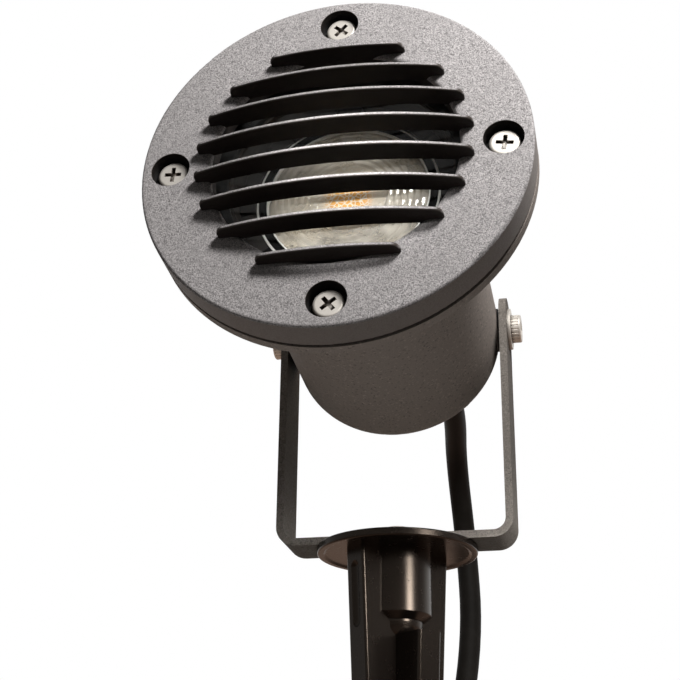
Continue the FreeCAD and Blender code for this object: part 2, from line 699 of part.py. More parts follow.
COIL_START = 0.0
coil_steps = int(LAYER_TURNS * 2 * 8)
coil_points = [coil_point(k / 8) for k in range(coil_steps + 1)]
coil_directions = []
for k in range(coil_steps + 1):
    ahead = coil_point(k / 8 + 0.002)
    behind = coil_point(k / 8 - 0.002)
    coil_directions.append((ahead - behind).normalize())
coil_edges = []
for k in range(coil_steps):
    coil_edges += biarc(coil_points[k], coil_directions[k], coil_points[k + 1], coil_directions[k + 1])
samples = [coil_point(k / 120) for k in range(int(LAYER_TURNS * 2 * 120) + 1)]
least = min(
    (samples[i] - samples[j]).Length
    for i in range(0, len(samples), 2)
    for j in range(i + 60, len(samples))
)
print("   coil: least gap to itself %.2f mm" % (least - CORD_DIAMETER))

# The upper stretch hangs from the gland, the lower one reaches the floor beside the coil.
exit_point = head_point(GLAND_ACROSS, exit_depth, GLAND_UP)
exit_direction = (head_point(GLAND_ACROSS, exit_depth + 1, GLAND_UP) - exit_point).normalize()
split_point = V(8.8, 86.85, -20.0)
upper_route = [
    exit_point,
    exit_point + exit_direction * 14.0,
    V(7.5, 80.0, 55.0),
    V(8.4, 97.0, 28.0),
    V(10.8, 89.5, -6.0),
    split_point,
]
entry = coil_points[0]
lower_route = [
    split_point,
    V(5.5, 82.5, -43.0),
    V(16.0, 92.0, -84.0),
    V(32.0, 112.0, -122.0),
    V(45.0, 134.0, -158.0),
    entry - coil_directions[0] * 48.0,
    entry,
]
leave = coil_points[-1]
leave_direction = coil_directions[-1]
PLUG_RADIUS = 8.0
plug_start = leave + leave_direction * 48.0
plug_start.z = FLOOR + PLUG_RADIUS
plug_direction = V(leave_direction.x, leave_direction.y, 0).normalize()
end_route = [
    leave,
    leave + leave_direction * 16.0,
    plug_start - plug_direction * 14.0,
    plug_start,
]
save("cord_upper", tube(route(upper_route, CORD_DIAMETER), CORD_DIAMETER))
save("cord_lower", tube(route(lower_route, CORD_DIAMETER), CORD_DIAMETER))
save("cord_coil", tube(coil_edges, CORD_DIAMETER))
save("cord_end", tube(route(end_route, CORD_DIAMETER), CORD_DIAMETER))

# The tie is a flat band round both layers of the coil.
tie_low = FLOOR + TIE_THICKNESS
tie_high = tie_low + 0.2 + CORD_DIAMETER + LAYER
tie_in = COIL_RADIUS - COIL_PITCH * LAYER_TURNS / 2 - CORD_RADIUS - 0.6
tie_out = COIL_RADIUS + COIL_PITCH * LAYER_TURNS / 2 + CORD_RADIUS + 0.4
tie_corners = [V(tie_in, 0, tie_low), V(tie_out, 0, tie_low), V(tie_out, 0, tie_high), V(tie_in, 0, tie_high)]
outer_corners = [
    V(tie_in - TIE_THICKNESS, 0, tie_low - TIE_THICKNESS),
    V(tie_out + TIE_THICKNESS, 0, tie_low - TIE_THICKNESS),
    V(tie_out + TIE_THICKNESS, 0, tie_high + TIE_THICKNESS),
    V(tie_in - TIE_THICKNESS, 0, tie_high + TIE_THICKNESS),
]
band = Part.Face(rounded_outline(outer_corners, [2.5] * 4)).extrude(V(0, TIE_WIDTH, 0))
band = band.cut(Part.Face(rounded_outline(tie_corners, [1.5] * 4)).extrude(V(0, TIE_WIDTH, 0)))
band.translate(V(0, -TIE_WIDTH / 2, 0))
band.rotate(V(0, 0, 0), V(0, 0, 1), 100)
band.translate(COIL_CENTRE)
save("coil_tie", band)

# --- Connector on the cord's end ---------------------------------------------------------------

def place_plug(shape):
    """Move a shape made along +Y to the cord's end."""
    shape = shape.copy()
    shape.rotate(V(0, 0, 0), V(0, 0, 1), degrees(atan2(-plug_direction.x, plug_direction.y)))
    shape.translate(plug_start)
    return shape


PLUG_LENGTH = 30.0
plug_body = turned([
    (0.0, 0.0),
    (5.2, 0.0, 1.0),
    (6.9, 9.0, 2.0),
    (6.9, PLUG_LENGTH - 8.0, 0.4),
    (5.4, PLUG_LENGTH - 8.0),
    (5.4, PLUG_LENGTH, 0.3),
    (0.0, PLUG_LENGTH),
])
grips = []
for k in range(10):
    grip = cylinder(0.9, 10.0, V(7.3, 10.5, 0), V(0, 1, 0))
    grip.rotate(V(0, 0, 0), V(0, 1, 0), 36 * k)
    grips.append(grip)
pin_holes = [cylinder(1.02, 8.0, V(x, PLUG_LENGTH - 6.0, 0), V(0, 1, 0)) for x in (-2.4, 2.4)]
save("plug_body", place_plug(plug_body.cut(grips + pin_holes)))
plug_pins = [cylinder(1.0, 12.5, V(x, PLUG_LENGTH - 5.5, 0), V(0, 1, 0)) for x in (-2.4, 2.4)]
save("plug_pins", place_plug(Part.makeCompound(plug_pins)))
screw_ring = turned([
    (5.6, PLUG_LENGTH - 7.8),
    (PLUG_RADIUS, PLUG_LENGTH - 7.8, 0.5),
    (PLUG_RADIUS, PLUG_LENGTH + 9.0, 0.5),
    (7.0, PLUG_LENGTH + 9.0),
    (7.0, PLUG_LENGTH + 0.5),
    (5.6, PLUG_LENGTH + 0.5),
])
ring_grips = []
for k in range(18):
    grip = cylinder(0.5, 12.0, V(PLUG_RADIUS + 0.2, PLUG_LENGTH - 5.0, 0), V(0, 1, 0))
    grip.rotate(V(0, 0, 0), V(0, 1, 0), 10 + 20 * k)
    ring_grips.append(grip)
save("plug_ring", place_plug(screw_ring.cut(ring_grips)))
for name, points in (("upper", upper_route), ("lower", lower_route), ("end", end_route)):
    print("   %s route in mm:" % name, [tuple(round(c, 2) for c in p) for p in points])
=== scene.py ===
"""Looks of a garden spike spotlight.

A round louvred head tilts in a U-shaped yoke, the yoke swivels on the disc of a
crossed-fin ground spike, and a rubber cord hangs behind them. Lengths named in
millimetres are turned into metres by MM where a mesh is made.
"""

import logging
from dataclasses import dataclass
from enum import Enum
from math import cos, pi, radians, sin, sqrt
from typing import Optional, Sequence, Union

import bmesh
import bpy
from mathutils import Matrix, Vector


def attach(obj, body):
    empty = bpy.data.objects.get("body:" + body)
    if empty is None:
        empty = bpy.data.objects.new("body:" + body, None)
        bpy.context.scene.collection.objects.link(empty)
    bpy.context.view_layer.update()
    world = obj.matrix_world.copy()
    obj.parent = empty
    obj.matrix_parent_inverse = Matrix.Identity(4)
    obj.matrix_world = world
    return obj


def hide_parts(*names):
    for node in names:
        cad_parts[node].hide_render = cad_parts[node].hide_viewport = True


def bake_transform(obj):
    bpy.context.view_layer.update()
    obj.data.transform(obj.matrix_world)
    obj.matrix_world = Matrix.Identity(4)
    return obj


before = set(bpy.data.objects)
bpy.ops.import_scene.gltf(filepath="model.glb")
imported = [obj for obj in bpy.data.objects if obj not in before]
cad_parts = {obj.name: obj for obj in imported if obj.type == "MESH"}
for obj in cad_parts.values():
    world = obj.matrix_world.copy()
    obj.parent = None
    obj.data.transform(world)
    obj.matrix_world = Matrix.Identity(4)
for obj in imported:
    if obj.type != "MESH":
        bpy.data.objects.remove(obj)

LOG = logging.getLogger("spotlight")
MM = 0.001
SHARP_FROM = radians(40.0)
HEAD_BODY = "head_body"

Colour = tuple[float, float, float]


# --- Shader wrappers ----------------------------------------------------------


class Cell(Enum):
    """What a cell pattern gives back."""

    CENTRES = "F1"
    SOFT_CENTRES = "SMOOTH_F1"
    BORDERS = "DISTANCE_TO_EDGE"


class Link:
    """A shader socket that can be used in sums."""

    def __init__(self, recipe: "Recipe", socket: bpy.types.NodeSocket) -> None:
        """Keep the recipe the socket belongs to, so that sums add nodes there."""
        self.recipe = recipe
        self.socket = socket

    def _sum(self, operation: str, first: object, second: object) -> "Link":
        """Add one Math node and return its output."""
        return self.recipe.node("ShaderNodeMath", {"operation": operation}, {0: first, 1: second})

    def __add__(self, other: object) -> "Link":
        """Sum of both."""
        return self._sum("ADD", self, other)

    def __radd__(self, other: object) -> "Link":
        """Sum of both."""
        return self._sum("ADD", other, self)

    def __sub__(self, other: object) -> "Link":
        """This less the other."""
        return self._sum("SUBTRACT", self, other)

    def __rsub__(self, other: object) -> "Link":
        """The other less this."""
        return self._sum("SUBTRACT", other, self)

    def __mul__(self, other: object) -> "Link":
        """Product of both."""
        return self._sum("MULTIPLY", self, other)

    def __rmul__(self, other: object) -> "Link":
        """Product of both."""
        return self._sum("MULTIPLY", other, self)

    def largest(self, other: object) -> "Link":
        """The larger of both."""
        return self._sum("MAXIMUM", self, other)

    def smallest(self, other: object) -> "Link":
        """The smaller of both."""
        return self._sum("MINIMUM", self, other)

    def step(self, start: float, end: float) -> "Link":
        """Go smoothly from 0 at start to 1 at end, which may lie below start.

        Args:
            start: value that gives 0.
            end: value that gives 1.

        Returns:
            The step, held between 0 and 1.
        """
        return self.recipe.node(
            "ShaderNodeMapRange",
            {"interpolation_type": "SMOOTHSTEP", "clamp": True},
            {"Value": self, "From Min": start, "From Max": end, "To Min": 0.0, "To Max": 1.0},
        )


class Recipe:
    """Node tree that is being filled in."""

    def __init__(self, tree: bpy.types.NodeTree) -> None:
        """Start from a tree."""
        self.tree = tree
        self._place: Optional[Link] = None

    def node(
        self,
        kind: str,
        settings: Optional[dict] = None,
        inputs: Optional[dict] = None,
        output: Union[int, str] = 0,
    ) -> Link:
        """Add one node.

        Args:
            kind: name of the node type.
            settings: properties of the node, set before its sockets.
            inputs: numbers, colours or links by socket name or number.
            output: the socket to return.

        Returns:
            The chosen output, ready for sums.
        """
        made = self.tree.nodes.new(kind)
        for key, value in (settings or {}).items():
            setattr(made, key, value)
        for key, value in (inputs or {}).items():
            self.feed(made.inputs[key], value)
        return Link(self, made.outputs[output])

    def feed(self, socket: bpy.types.NodeSocket, value: object) -> None:
        """Link a value into a socket, or set it where it is a constant.

        Args:
            socket: the input to fill.
            value: a link, or a number, colour or vector.
        """
        if isinstance(value, Link):
            self.tree.links.new(value.socket, socket)
        elif isinstance(value, tuple) and len(value) == 3 and socket.type == "RGBA":
            socket.default_value = (*value, 1.0)
        else:
            socket.default_value = value

    def place(self) -> Link:
        """Object coordinates, in metres."""
        if self._place is None:
            self._place = self.node("ShaderNodeTexCoord", output="Object")
        return self._place

    def noise(self, size: float, detail: float = 2.0, roughness: float = 0.5) -> Link:
        """Soft noise whose lumps are about size millimetres across.

        Args:
            size: width of a lump in millimetres.
            detail: octaves of finer noise on top of it.
            roughness: share that each finer octave keeps.

        Returns:
            The noise, from about 0 to 1.
        """
        return self.node(
            "ShaderNodeTexNoise",
            {"noise_dimensions": "3D"},
            {"Vector": self.place(), "Scale": 1.0 / (size * MM), "Detail": detail, "Roughness": roughness},
        )

    def cells(self, size: float, kind: Cell = Cell.CENTRES, output: Union[int, str] = 0) -> Link:
        """Cells about size millimetres across.

        Args:
            size: width of a cell in millimetres.
            kind: what the pattern gives back.
            output: the socket to return.

        Returns:
            The chosen output.
        """
        return self.node(
            "ShaderNodeTexVoronoi",
            {"feature": kind.value},
            {"Vector": self.place(), "Scale": 1.0 / (size * MM)},
            output,
        )

    def blend(self, mask: object, first: object, second: object) -> Link:
        """Mix two colours: first where the mask is 0, second where it is 1."""
        return self.node("ShaderNodeMix", {"data_type": "RGBA"}, {0: mask, 6: first, 7: second}, 2)

    def bump(self, height: Link, depth: float, strength: float = 1.0, under: Optional[Link] = None) -> Link:
        """Bump from a height of 0 to 1.

        Args:
            height: the height.
            depth: millimetres that a height of 1 stands for.
            strength: share of the bump that is used.
            under: another bump that this one lies on.

        Returns:
            The normal.
        """
        inputs = {"Height": height, "Distance": depth * MM, "Strength": strength}
        if under is not None:
            inputs["Normal"] = under
        return self.node("ShaderNodeBump", None, inputs)

    def part_of(self, vector: Link, axis: str) -> Link:
        """One coordinate of a vector."""
        return self.node("ShaderNodeSeparateXYZ", None, {0: vector}, axis)

    def vector_sum(self, operation: str, vector: Link, other: Vector, output: Union[int, str] = 0) -> Link:
        """One Vector Math node on a vector and a fixed one."""
        return self.node(
            "ShaderNodeVectorMath", {"operation": operation}, {0: vector, 1: tuple(other)}, output
        )

    def dot(self, vector: Link, direction: Vector) -> Link:
        """Scalar product of a vector and a fixed direction."""
        return self.vector_sum("DOT_PRODUCT", vector, direction, "Value")

    def distance_from_axis(self, start: Vector, along: Vector) -> Link:
        """How far the surface is from a line.

        Args:
            start: a point of the line, in metres.
            along: direction of the line, of length 1.

        Returns:
            The distance in metres.
        """
        offset = self.vector_sum("SUBTRACT", self.place(), start)
        turned = self.vector_sum("CROSS_PRODUCT", offset, along)
        return self.node("ShaderNodeVectorMath", {"operation": "LENGTH"}, {0: turned}, "Value")


class MaterialRecipe(Recipe):
    """Node tree of one material, with a Principled shader at its end."""

    def __init__(self, name: str) -> None:
        """Start an empty material.

        Args:
            name: the material's name.
        """
        self.material = bpy.data.materials.new(name)
        self.material.use_nodes = True
        super().__init__(self.material.node_tree)
        self.shader = next(n for n in self.tree.nodes if n.type == "BSDF_PRINCIPLED")
        self.output = next(n for n in self.tree.nodes if n.type == "OUTPUT_MATERIAL")

    def finish(self, **sockets: object) -> bpy.types.Material:
        """Feed the shader's sockets, by name with _ for a blank, and return the material."""
        for key, value in sockets.items():
            self.feed(self.shader.inputs[key.replace("_", " ")], value)
        return self.material

    def show(self, surface: Link) -> bpy.types.Material:
        """Put another shader at the end of the tree and return the material."""
        self.feed(self.output.inputs["Surface"], surface)
        return self.material


# --- Places shared by pieces and finishes -------------------------------------

TILT = radians(7.1)
PIVOT = Vector((0.0, 0.0, 69.0)) * MM
FORWARD = Vector((0.0, -cos(TILT), sin(TILT)))
UPWARD = Vector((0.0, sin(TILT), cos(TILT)))
FACE_CENTRE = PIVOT + FORWARD * (94.0 * MM)


def head_point(across: float, depth: float, height: float) -> Vector:
    """A point of the head, in the object's frame.

    Args:
        across: millimetres towards +X.
        depth: millimetres behind the front plane of the face casting.
        height: millimetres up from the head's axis.

    Returns:
        The point at rest, in metres.
    """
    return FACE_CENTRE + (Vector((across, 0.0, 0.0)) - FORWARD * depth + UPWARD * height) * MM


# --- Finishes -----------------------------------------------------------------


class Finish:
    """A material that is made once and shared by all pieces that take it."""

    name: str

    def material(self) -> bpy.types.Material:
        """The material, made the first time it is asked for."""
        return bpy.data.materials.get(self.name) or self.make(MaterialRecipe(self.name))

    def make(self, r: MaterialRecipe) -> bpy.types.Material:
        """Fill in the recipe and return its material."""
        raise NotImplementedError


def lighter(colour: Colour, factor: float, lift: float = 0.0) -> Colour:
    """A colour times a factor plus a lift, kept below 1."""
    return tuple(min(1.0, c * factor + lift) for c in colour)


@dataclass(frozen=True)
class PowderCoat(Finish):
    """Fine-textured powder coat with pale and dark specks, and painted shade where it lies deep.

    Attributes:
        name: the material's name.
        base: colour between the specks.
        speckle: how far the specks leave the base colour.
        grain: size of the specks in millimetres.
        relief: depth of the texture in millimetres.
        gloss: roughness of the coat.
        shine: specular level of the coat.
        painted_hollow_share: share of the colour left as painted shade on the louvres' sides and in the
            opening, 1 for no louvres.
        opening_radius: radius of the louvred opening in millimetres.
        bore_circle: distance in millimetres from the head's axis to the four bores of a louvred face.
        bore_radius: radius of those bores in millimetres.
        bore_painted_shade: painted shade in those bores.
        painted_inside_radius: radius in millimetres of the inside behind the face that gets painted shade,
            0 for none.
        painted_inside_depth: how far behind the face that inside reaches, in millimetres.
    """

    name: str
    base: Colour
    speckle: float
    grain: float = 0.32
    relief: float = 0.05
    gloss: float = 0.7
    shine: float = 0.12
    painted_hollow_share: float = 1.0
    opening_radius: float = 37.0
    bore_circle: float = 0.0
    bore_radius: float = 5.2
    bore_painted_shade: Colour = (0.012, 0.009, 0.008)
    painted_inside_radius: float = 0.0
    painted_inside_depth: float = 55.0

    def make(self, r: MaterialRecipe) -> bpy.types.Material:
        """Strew pale and dark specks, and paint shade where the surface lies deep.

        Args:
            r: the recipe being filled in.

        Returns:
            The material.
        """
        grain = r.noise(self.grain, 2.0, 0.6)
        lumps = r.noise(self.grain * 2.2, 2.0, 0.5)
        cloud = r.noise(16.0, 2.0, 0.55)
        fleck = r.part_of(r.cells(self.grain * 1.6, output="Color"), "X")
        pale = lighter(self.base, 1.0 + self.speckle)
        dark = lighter(self.base, 1.0 - self.speckle * 0.7)
        mottled = r.blend(grain.step(0.34, 0.66), dark, pale)
        mottled = r.blend(lumps.step(0.35, 0.65) * 0.3, mottled, self.base)
        mottled = r.blend(fleck.step(0.92, 0.97) * 0.45, mottled, lighter(self.base, 1.7, 0.03))
        mottled = r.blend(fleck.step(0.08, 0.04) * 0.5, mottled, lighter(self.base, 0.35))
        shade = r.blend(cloud.step(0.35, 0.65) * 0.3, mottled, self.base)
        # Painted shade on the louvres, round the rim and in the bores.
        if self.painted_hollow_share < 1.0:
            shade = self.paint_louvre_shade(r, shade)
        # Painted shade, near black, on the inner wall behind the face.
        if self.painted_inside_radius > 0.0:
            shade = r.blend(self.in_painted_inside(r), shade, lighter(self.base, 0.08))
        # Painted shade: the coat turns darker wherever ambient occlusion finds the surface hemmed in.
        open_sky = r.node("ShaderNodeAmbientOcclusion", {"samples": 6}, {"Distance": 3.0 * MM}, "AO")
        shade = r.blend((1.0 - open_sky.step(0.2, 0.75)) * 0.8, shade, lighter(self.base, 0.12))
        return r.finish(
            Base_Color=shade,
            Roughness=self.gloss + (grain - 0.5) * 0.3,
            Normal=r.bump(grain * 0.6 + lumps * 0.4, self.relief * 4.0, 0.6),
            Specular_IOR_Level=self.shine,
        )

    def paint_louvre_shade(self, r: MaterialRecipe, shade: Link) -> Link:
        """Paint shade on the louvres, round the rim and in the bores.

        Args:
            r: the recipe being filled in.
            shade: the coat's colour on the front of the face.

        Returns:
            The colour all over the casting.
        """
        ahead = r.dot(r.node("ShaderNodeTexCoord", output="Normal"), FORWARD)
        turned_away = 1.0 - ahead.step(0.05, 0.4)
        radius = r.distance_from_axis(FACE_CENTRE, FORWARD)
        inside = 1.0 - radius.step((self.opening_radius - 0.4) * MM, (self.opening_radius + 0.4) * MM)
        proud = self.behind_face(r).step(-1.5 * MM, -3.0 * MM)
        # Painted shade on the louvres where they turn away from the front; their foremost flat keeps the
        # coat.
        shade = r.blend(inside * proud * (1.0 - ahead.step(0.8, 0.99)), shade, self.nose_painted_shade())
        # Painted shade on sides turned away from the front, outside the opening.
        shade = r.blend(turned_away * (1.0 - inside) * 0.8, shade, self.rim_painted_shade())
        # Painted shade on the louvres' sides and the walls of the opening.
        shade = r.blend(turned_away * inside, shade, self.between_louvres_painted_shade())
        # Painted shade, near black, inside the four screw bores.
        return r.blend(self.in_bores(r), shade, self.bore_painted_shade)

    def rim_painted_shade(self) -> Colour:
        """Painted shade, browner, on the casting's outer wall and other sides turned from the front."""
        return (self.base[0] * 0.78, self.base[1] * 0.72, self.base[2] * 0.66)

    def nose_painted_shade(self) -> Colour:
        """Painted shade beside the louvres' front edges, leaving their foremost flat in the coat's colour.
        """
        return (self.base[0] * 0.22, self.base[1] * 0.20, self.base[2] * 0.18)

    def between_louvres_painted_shade(self) -> Colour:
        """Painted shade, dark brown, on the louvres' sides and the walls of the opening."""
        red, green, blue = lighter(self.base, self.painted_hollow_share)
        return (red, green * 0.85, blue * 0.78)

    def in_painted_inside(self, r: MaterialRecipe) -> Link:
        """Find the inner wall behind the face, which gets painted shade.

        Args:
            r: the recipe being filled in.

        Returns:
            1 on that wall, 0 elsewhere.
        """
        radius = r.distance_from_axis(FACE_CENTRE, FORWARD)
        within = 1.0 - radius.step(self.painted_inside_radius * MM, (self.painted_inside_radius + 0.2) * MM)
        return within * self.behind_face(r).step((self.painted_inside_depth + 1.0) * MM, self.painted_inside_depth * MM)

    @staticmethod
    def behind_face(r: MaterialRecipe) -> Link:
        """Distance behind the front plane of the face casting, in metres."""
        return FACE_CENTRE.dot(FORWARD) - r.dot(r.place(), FORWARD)

    def in_bores(self, r: MaterialRecipe) -> Link:
        """Find the four bores, behind the front of the face.

        Args:
            r: the recipe being filled in.

        Returns:
            1 within them, 0 elsewhere.
        """
        nearest: Optional[Link] = None
        for across, height in ((0.0, 1.0), (1.0, 0.0), (0.0, -1.0), (-1.0, 0.0)):
            centre = head_point(across * self.bore_circle, 0.0, height * self.bore_circle)
            distance = r.distance_from_axis(centre, FORWARD)
            nearest = distance if nearest is None else nearest.smallest(distance)
        within = 1.0 - nearest.step((self.bore_radius + 0.02) * MM, (self.bore_radius + 0.1) * MM)
        return within * self.behind_face(r).step(0.1 * MM, 0.3 * MM)


@dataclass(frozen=True)
class TurnedSteel(Finish):
    """Stainless fasteners with fine turning marks and painted shade in their hollows.

    Attributes:
        name: the material's name.
        base: colour of the metal.
        hollow_painted_shade: painted shade in its hollows.
        gloss: its roughness.
    """

    name: str
    base: Colour = (0.92, 0.86, 0.78)
    hollow_painted_shade: Colour = (0.045, 0.028, 0.018)
    gloss: float = 0.4

    def make(self, r: MaterialRecipe) -> bpy.types.Material:
        """Lay turning marks and smears on the metal, and paint shade into its hollows.

        Args:
            r: the recipe being filled in.

        Returns:
            The material.
        """
        marks = r.noise(0.16, 2.0, 0.6)
        smear = r.noise(2.2, 3.0, 0.6)
        tone = r.blend(smear.step(0.35, 0.7) * 0.55, self.base, lighter(self.base, 0.85))
        # Painted shade: ambient occlusion darkens the metal in its hollows.
        open_sky = r.node("ShaderNodeAmbientOcclusion", {"samples": 6}, {"Distance": 1.5 * MM}, "AO")
        hollow = 1.0 - open_sky.step(0.5, 0.8)
        return r.finish(
            Base_Color=r.blend(hollow * 0.95, tone, self.hollow_painted_shade),
            Metallic=0.6,
            Roughness=self.gloss + smear * 0.12 + marks * 0.08,
            Normal=r.bump(marks, 0.01, 0.4),
        )


@dataclass(frozen=True)
class GlossMoulding(Finish):
    """Black moulded plastic with a slightly wavy shine.

    Attributes:
        name: the material's name.
        base: its colour.
        dust: colour of the specks of dust on it.
        warmth: tint of its shine.
        gloss: its roughness.
    """

    name: str
    base: Colour = (0.0075, 0.0055, 0.0045)
    dust: Colour = (0.09, 0.08, 0.07)
    warmth: Colour = (1.0, 0.8, 0.64)
    gloss: float = 0.24

    def make(self, r: MaterialRecipe) -> bpy.types.Material:
        """Make the shine a little wavy and strew some dust.

        Args:
            r: the recipe being filled in.

        Returns:
            The material.
        """
        wave = r.noise(9.0, 2.0, 0.4)
        specks = r.noise(0.5, 2.0, 0.7)
        scuff = r.noise(3.0, 4.0, 0.7).step(0.6, 0.75)
        return r.finish(
            Base_Color=r.blend(specks.step(0.66, 0.76) * 0.1, self.base, self.dust),
            Roughness=self.gloss + scuff * 0.1 + specks * 0.04,
            Normal=r.bump(wave, 0.25, 0.25, r.bump(specks, 0.01, 0.2)),
            IOR=1.45,
            Specular_Tint=self.warmth,
        )


@dataclass(frozen=True)
class CordRubber(Finish):
    """Matt black rubber jacket with a faint bloom.

    Attributes:
        name: the material's name.
        base: its colour.
    """

    name: str
    base: Colour = (0.014, 0.012, 0.010)

    def make(self, r: MaterialRecipe) -> bpy.types.Material:
        """Spread a faint bloom over fine grit.

        Args:
            r: the recipe being filled in.

        Returns:
            The material.
        """
        bloom = r.noise(11.0, 3.0, 0.6)
        grit = r.noise(0.35, 2.0, 0.6)
        return r.finish(
            Base_Color=r.blend(bloom.step(0.4, 0.75) * 0.6, self.base, lighter(self.base, 1.7, 0.003)),
            Roughness=0.5 + bloom * 0.12 + grit * 0.08,
            Normal=r.bump(grit, 0.02, 0.35),
            Specular_IOR_Level=0.1,
        )


@dataclass(frozen=True)
class PlainMoulding(Finish):
    """Moulded plastic, nylon, ceramic, rubber or small metal parts with a fine grain.

    Attributes:
        name: the material's name.
        base: its colour.
        gloss: its roughness.
        metal: 1 for bare metal.
        relief: depth of its grain in millimetres.
    """

    name: str
    base: Colour
    gloss: float = 0.5
    metal: float = 0.0
    relief: float = 0.03

    def make(self, r: MaterialRecipe) -> bpy.types.Material:
        """Cloud the colour and roughen the surface a little.

        Args:
            r: the recipe being filled in.

        Returns:
            The material.
        """
        grain = r.noise(0.4, 2.0, 0.6)
        cloud = r.noise(5.0, 3.0, 0.6)
        return r.finish(
            Base_Color=r.blend(cloud.step(0.3, 0.7) * 0.6, self.base, lighter(self.base, 1.25, 0.002)),
            Metallic=self.metal,
            Roughness=self.gloss + (grain - 0.5) * 0.15,
            Normal=r.bump(grain, self.relief, 0.35),
        )


@dataclass(frozen=True)
class ClearPane(Finish):
    """Clear glass that lets the light through and keeps its reflections.

    Attributes:
        name: the material's name.
        tint: colour of what is seen through it.
        gloss: roughness of its shine.
        density: refractive index that sets how much it shines.
    """

    name: str
    tint: Colour
    gloss: float = 0.03
    density: float = 1.5

    def make(self, r: MaterialRecipe) -> bpy.types.Material:
        """Fill in the recipe."""
        return self.glaze(r, self.clear(r), {})

    def clear(self, r: MaterialRecipe) -> Link:
        """Shader of the bare glass."""
        return r.node("ShaderNodeBsdfTransparent", None, {"Color": self.tint})

    def glaze(self, r: MaterialRecipe, body: Link, relief: dict) -> bpy.types.Material:
        """Lay the shine of glass over a body.

        Args:
            r: the recipe being filled in.
            body: shader of what lies under the shine.
            relief: the Normal socket's link, or nothing for a smooth pane.

        Returns:
            The material.
        """
        shine = r.node(
            "ShaderNodeBsdfGlossy", None, {"Color": (1.0, 1.0, 1.0), "Roughness": self.gloss, **relief}
        )
        fresnel = r.node("ShaderNodeFresnel", None, {"IOR": self.density, **relief})
        r.material.surface_render_method = "BLENDED"
        return r.show(r.node("ShaderNodeMixShader", None, {0: fresnel, 1: body, 2: shine}))


@dataclass(frozen=True)
class PebbledLens(ClearPane):
    """Lightly frosted lens with pebbles in its middle, where the amber disc shows through.

    Attributes:
        milk: share of the surface that scatters light.
        frost: colour of that scattered light.
        pebbles: size of the pebbles in millimetres.
        pebble_radius: radius of the pebbled middle in millimetres.
        amber_core: radius in millimetres that is fully amber.
        amber_edge: radius in millimetres where the amber ends.
        seams: colour between the pebbles.
        amber: colour of the pebbles over the disc.
        amber_seams: colour between those.
    """

    milk: float = 0.35
    frost: Colour = (0.97, 0.91, 0.82)
    pebbles: float = 1.35
    pebble_radius: float = 10.5
    amber_core: float = 4.0
    amber_edge: float = 8.5
    seams: Colour = (0.8, 0.66, 0.48)
    amber: Colour = (0.93, 0.47, 0.13)
    amber_seams: Colour = (0.98, 0.9, 0.76)

    def make(self, r: MaterialRecipe) -> bpy.types.Material:
        """Frost the glass, pebble its middle and tint that amber.

        Args:
            r: the recipe being filled in.

        Returns:
            The material.
        """
        radius = r.distance_from_axis(FACE_CENTRE, FORWARD)
        core = 1.0 - radius.step((self.pebble_radius - 0.4) * MM, self.pebble_radius * MM)
        warm = 1.0 - radius.step(self.amber_core * MM, self.amber_edge * MM)
        border = r.cells(self.pebbles, Cell.BORDERS)
        pebble = border.step(0.0, 0.4)
        honey = r.blend(border.step(0.02, 0.12), self.amber_seams, self.amber)
        pebbled = r.blend(core * (1.0 - pebble) * 0.5, self.frost, self.seams)
        r.finish(Base_Color=r.blend(warm, pebbled, honey), Roughness=0.5, Specular_IOR_Level=0.2)
        swirl = r.noise(7.0, 2.0, 0.5).step(0.35, 0.65)
        milk = self.milk * (0.65 + swirl * 0.6) + core * 0.2 + warm * 0.25
        frosted = Link(r, r.shader.outputs[0])
        body = r.node("ShaderNodeMixShader", None, {0: milk, 1: self.clear(r), 2: frosted})
        normal = r.bump(pebble * core + r.noise(3.4, 1.0) * 0.3 * (1.0 - core), 0.35, 0.9)
        return self.glaze(r, body, {"Normal": normal})


@dataclass(frozen=True)
class Phosphor(Finish):
    """Amber light-emitting disc that turns paler towards its edge.

    Attributes:
        name: the material's name.
        cell: size of its cells in millimetres.
        amber_radius: radius in millimetres that is fully amber.
        pale_radius: radius in millimetres where it is fully pale.
        amber: colour of its cells.
        seams: colour between them.
        pale: colour of its edge.
    """

    name: str
    cell: float = 1.3
    amber_radius: float = 3.4
    pale_radius: float = 7.2
    amber: Colour = (0.95, 0.45, 0.1)
    seams: Colour = (0.95, 0.82, 0.62)
    pale: Colour = (0.9, 0.84, 0.7)

    def make(self, r: MaterialRecipe) -> bpy.types.Material:
        """Tint the cells and let them turn paler outwards.

        Args:
            r: the recipe being filled in.

        Returns:
            The material.
        """
        border = r.cells(self.cell, Cell.BORDERS)
        radius = r.distance_from_axis(FACE_CENTRE, FORWARD)
        chip = r.blend(border.step(0.04, 0.25), self.seams, self.amber)
        tone = r.blend(radius.step(self.amber_radius * MM, self.pale_radius * MM), chip, self.pale)
        return r.finish(Base_Color=tone, Roughness=0.35, Normal=r.bump(border.step(0.0, 0.3), 0.3, 0.6))


